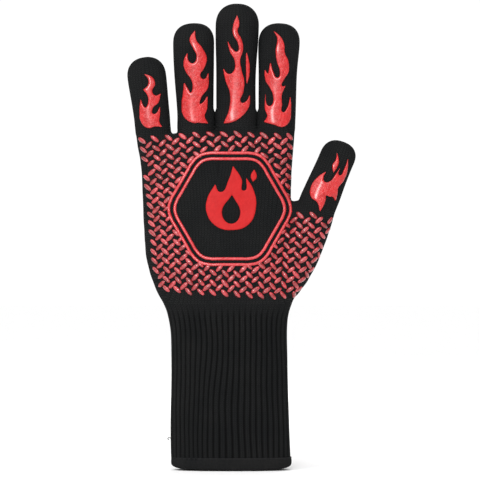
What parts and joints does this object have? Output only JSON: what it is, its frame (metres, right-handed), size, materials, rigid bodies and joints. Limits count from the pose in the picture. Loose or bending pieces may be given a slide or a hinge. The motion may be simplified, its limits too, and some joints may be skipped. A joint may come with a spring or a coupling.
{
  "type": "heat resistant glove",
  "caption": "Long-cuff knitted heat resistant barbecue glove with five hinged finger stalls, a separate lining and raised silicone grips on both faces.",
  "frame": {"origin": "centre of the wrist opening, in the plane of the hem's lower edge", "axes": "+Z from the wrist opening to the fingertips, -Y out of the palm face, +X towards the thumb"},
  "size_m": [0.1713, 0.0386, 0.3549],
  "materials": {
    "shell": "matt black plain knit",
    "rib": "matt black ribbed knit",
    "lining": "soft dark grey brushed knit",
    "grip": "glossy red silicone"
  },
  "bodies": {
    "hand": {"palm_shell": "shell", "palm_lining": "lining", "rib_cuff": "rib", "cuff_hem": "rib", "cuff_lining": "lining", "palm_outer_ring_front": "grip", "palm_inner_ring_front": "grip", "palm_flame_front": "grip", "palm_spark_front": "grip", "palm_outer_ring_back": "grip", "palm_inner_ring_back": "grip", "palm_flame_back": "grip", "palm_spark_back": "grip"},
    "little_base": {"little_base_stall": "shell", "little_base_lining": "lining", "little_lower_flame_front": "grip", "little_lower_flame_back": "grip"},
    "little_tip": {"little_tip_stall": "shell", "little_tip_lining": "lining", "little_upper_flame_front": "grip", "little_upper_flame_back": "grip"},
    "ring_base": {"ring_base_stall": "shell", "ring_base_lining": "lining", "ring_lower_flame_front": "grip", "ring_lower_flame_back": "grip"},
    "ring_tip": {"ring_tip_stall": "shell", "ring_tip_lining": "lining", "ring_upper_flame_front": "grip", "ring_upper_flame_back": "grip"},
    "middle_base": {"middle_base_stall": "shell", "middle_base_lining": "lining", "middle_lower_flame_front": "grip", "middle_lower_flame_back": "grip"},
    "middle_tip": {"middle_tip_stall": "shell", "middle_tip_lining": "lining", "middle_upper_flame_front": "grip", "middle_upper_flame_back": "grip", "middle_side_flame_front": "grip", "middle_side_flame_back": "grip"},
    "index_base": {"index_base_stall": "shell", "index_base_lining": "lining", "index_lower_flame_front": "grip", "index_lower_flame_back": "grip"},
    "index_tip": {"index_tip_stall": "shell", "index_tip_lining": "lining", "index_upper_flame_front": "grip", "index_upper_flame_back": "grip"},
    "thumb_base": {"thumb_base_stall": "shell", "thumb_base_lining": "lining", "thumb_lower_flame_front": "grip", "thumb_lower_flame_back": "grip"},
    "thumb_tip": {"thumb_tip_stall": "shell", "thumb_tip_lining": "lining", "thumb_upper_flame_front": "grip", "thumb_upper_flame_back": "grip"}
  },
  "joints": [
    {"name": "little_knuckle", "type": "hinge", "parent": "hand", "child": "little_base", "pos_m": [-0.0596, -0.01115, 0.258], "axis": [0.9925, 0, 0.1219], "range_deg": [0, 80], "stiffness_Nm_per_rad": 0.05},
    {"name": "little_middle_joint", "type": "hinge", "parent": "little_base", "child": "little_tip", "pos_m": [-0.06265, -0.01154, 0.28281], "axis": [0.9925, 0, 0.1219], "range_deg": [0, 90], "stiffness_Nm_per_rad": 0.025},
    {"name": "ring_knuckle", "type": "hinge", "parent": "hand", "child": "ring_base", "pos_m": [-0.0274, -0.0114, 0.2605], "axis": [0.9997, 0, 0.0244], "range_deg": [0, 80], "stiffness_Nm_per_rad": 0.05},
    {"name": "ring_middle_joint", "type": "hinge", "parent": "ring_base", "child": "ring_tip", "pos_m": [-0.02825, -0.01198, 0.29549], "axis": [0.9997, 0, 0.0244], "range_deg": [0, 90], "stiffness_Nm_per_rad": 0.025},
    {"name": "middle_knuckle", "type": "hinge", "parent": "hand", "child": "middle_base", "pos_m": [0.0035, -0.01222, 0.261], "axis": [1, 0, -0.007], "range_deg": [0, 80], "stiffness_Nm_per_rad": 0.05},
    {"name": "middle_middle_joint", "type": "hinge", "parent": "middle_base", "child": "middle_tip", "pos_m": [0.00379, -0.01244, 0.303], "axis": [1, 0, -0.007], "range_deg": [0, 90], "stiffness_Nm_per_rad": 0.025},
    {"name": "index_knuckle", "type": "hinge", "parent": "hand", "child": "index_base", "pos_m": [0.0344, -0.01156, 0.2605], "axis": [0.9996, 0, -0.0279], "range_deg": [0, 80], "stiffness_Nm_per_rad": 0.05},
    {"name": "index_middle_joint", "type": "hinge", "parent": "index_base", "child": "index_tip", "pos_m": [0.03538, -0.01201, 0.29549], "axis": [0.9996, 0, -0.0279], "range_deg": [0, 90], "stiffness_Nm_per_rad": 0.025},
    {"name": "thumb_knuckle", "type": "hinge", "parent": "hand", "child": "thumb_base", "pos_m": [0.0656, -0.01197, 0.2014], "axis": [0.9367, 0, -0.3502], "range_deg": [0, 70], "stiffness_Nm_per_rad": 0.05},
    {"name": "thumb_middle_joint", "type": "hinge", "parent": "thumb_base", "child": "thumb_tip", "pos_m": [0.07365, -0.01162, 0.22294], "axis": [0.9367, 0, -0.3502], "range_deg": [0, 80], "stiffness_Nm_per_rad": 0.025}
  ]
}
